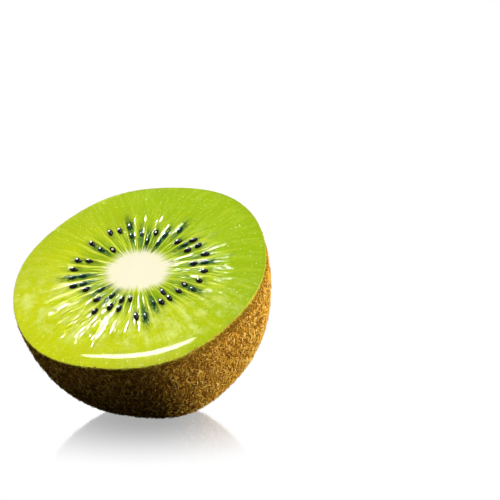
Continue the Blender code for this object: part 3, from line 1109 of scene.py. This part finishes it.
floor = start("floor", bpy.ops.mesh.primitive_plane_add, size=60.0)
floor.visible_diffuse = False
floor_material, shader = new_material("white_floor")
place = shader.node("ShaderNodeTexCoord", {}, {}, 3)
away = shader.node("ShaderNodeVectorMath", {"operation": "LENGTH"}, {0: place}, 1)
white = shader.node("ShaderNodeEmission", {}, {"Color": (*WHITE, 1.0), "Strength": FLOOR_STRENGTH})
mirror = shader.node("ShaderNodeBsdfGlossy", {}, {"Color": (*WHITE, 1.0), "Roughness": 0.09})
share = shader.fade(*MIRROR_FADE, away) * MIRROR_SHARE
shader.finish(shader.node("ShaderNodeMixShader", {}, {0: share, 1: white, 2: mirror}))
floor.data.materials.append(floor_material)
print(floor.name, "mirrors within", MIRROR_FADE[1], "m")

# %% [markdown]
# The camera sees a white world. The flat cut mirrors the space straight above it, which is kept dim, so
# that its colour stays deep. A weak fill from above reaches what the lamps leave dark.

# %% World
BLACK = (0.0, 0.0, 0.0)
FILL = (0.15, 0.15, 0.15)
FILL_START = (0.3, 0.8)
# Brightness of what surfaces mirror, from straight down (0) past the horizon (0.5) to straight up (1)
MIRRORED = [(0.0, 0.05), (0.49, 0.05), (0.50, 1.0), (0.65, 1.0), (0.71, 0.10), (1.0, 0.08)]

world = bpy.data.worlds.new("studio")
bpy.context.scene.world = world
shader = Shader(world, "ShaderNodeOutputWorld")
height = shader.node("ShaderNodeSeparateXYZ", {}, {0: shader.node("ShaderNodeTexCoord")}).beside("Z")
stops = [(place, (level, level, level)) for place, level in MIRRORED]
gradient = shader.node("ShaderNodeValToRGB", {"stops": stops}, {0: height * 0.5 + 0.5})
is_camera = shader.node("ShaderNodeLightPath")
color = shader.mix(is_camera, gradient, WHITE)
fill = shader.mix(shader.step(*FILL_START, height), BLACK, FILL)
color = shader.mix(is_camera.beside("Is Diffuse Ray"), color, fill)
shader.finish(shader.node("ShaderNodeBackground", {}, {"Color": color, "Strength": 1.0}))
print(world.name, "has", len(stops), "levels")

# %% [markdown]
# Each lamp has one task, and its direction is given as seen from the fruit. The soft boxes give the even
# light and show no mirror image, and two of them light only the skin and its hairs. The glints and the
# crescent strip do the opposite: they show only as mirror images on wet surfaces. Four glints reach only
# the flesh, and one only the seeds.

# %% A lamp
FORWARDS = (0.0, 1.0, 0.0)


def add_lamp(name, direction, distance, size, power, along=(1.0, 0.0, 0.0), color=WHITE, glint=False,
             shape="RECTANGLE", only=None):
    """A flat lamp that faces the cut. along is the direction of its first side, only what it lights."""
    back = Vector(direction).normalized()
    first = (Vector(along) - back * back.dot(Vector(along))).normalized()
    second = back.cross(first)
    lamp = bpy.data.lights.new(name, "AREA")
    lamp.shape = shape
    lamp.size, lamp.size_y = size
    lamp.energy = power
    lamp.color = color
    made = bpy.data.objects.new(name, lamp)
    turn = Matrix((first, second, back)).transposed().to_4x4()
    made.matrix_world = Matrix.Translation(FRUIT_PLACE + back * distance) @ turn
    made.visible_glossy = glint
    made.visible_diffuse = not glint
    if only:
        made.light_linking.receiver_collection = only
    bpy.context.scene.collection.objects.link(made)
    print(name, "at", [round(value, 2) for value in made.matrix_world.translation])


def receivers(name, *pieces):
    made = bpy.data.collections.new(name)
    for piece in pieces:
        made.objects.link(piece)
    return made


# %% Lamps
skin_pieces = receivers("skin_pieces", skin, fuzz, underfuzz, down_fuzz)
wet_pieces = receivers("wet_pieces", flesh)
seed_pieces = receivers("seed_pieces", seeds)

add_lamp("front_softbox", (-0.10, -0.66, 0.74), 0.34, (0.16, 0.16), 1.44)
add_lamp("right_softbox", (0.97, 0.12, 0.20), 0.60, (0.20, 0.20), 8.5, along=FORWARDS,
         color=(1.0, 0.93, 0.80), only=skin_pieces)
add_lamp("front_low_softbox", (0.10, -0.84, 0.54), 0.60, (0.20, 0.20), 1.35, only=skin_pieces)
add_lamp("back_softbox", (-0.20, 0.85, 0.45), 0.60, (0.30, 0.30), 3.0)
add_lamp("crescent_strip", (-0.22, -0.405, 0.889), 0.80, (0.35, 0.075), 2.2, along=(0.94, 0.09, 0.31),
         glint=True, shape="ELLIPSE")
add_lamp("front_glint", (0.0, -0.83, 0.557), 0.80, (0.40, 0.28), 24.0, glint=True, only=wet_pieces)
add_lamp("right_glint", (0.46, -0.20, 0.865), 0.80, (0.34, 0.34), 30.0, along=FORWARDS, glint=True)
add_lamp("back_glint", (-0.32, 0.83, 0.46), 0.80, (0.40, 0.34), 22.0, glint=True, only=wet_pieces)
add_lamp("left_glint", (-0.88, 0.20, 0.42), 0.80, (0.30, 0.36), 22.0, along=FORWARDS, glint=True,
         only=wet_pieces)
add_lamp("upper_left_glint", (-0.70, 0.62, 0.36), 0.80, (0.34, 0.34), 14.0, along=FORWARDS, glint=True,
         only=wet_pieces)
add_lamp("seed_glint", (-0.55, 0.31, 0.78), 0.80, (0.34, 0.26), 120.0, glint=True, only=seed_pieces)

# %% [markdown]
# ## The camera
# A long lens from a low three-quarter view, as in the photograph. It was placed by matching the outline
# of the cut and of the skin.

# %% Camera
CAMERA_PLACE = (0.10966, -0.29992, 0.08501)
CAMERA_DOWN = math.radians(8.99)
CAMERA_TURN = math.radians(16.34)

lens = bpy.data.cameras.new("camera")
lens.lens = 113.87
lens.sensor_width = 36.0
lens.clip_start = 0.01
camera = bpy.data.objects.new("camera", lens)
camera.location = CAMERA_PLACE
camera.rotation_euler = (0.5 * math.pi - CAMERA_DOWN, 0.0, CAMERA_TURN)
bpy.context.scene.collection.objects.link(camera)
bpy.context.scene.camera = camera
bpy.context.scene.view_settings.view_transform = "Standard"
print("the camera looks from", CAMERA_PLACE)
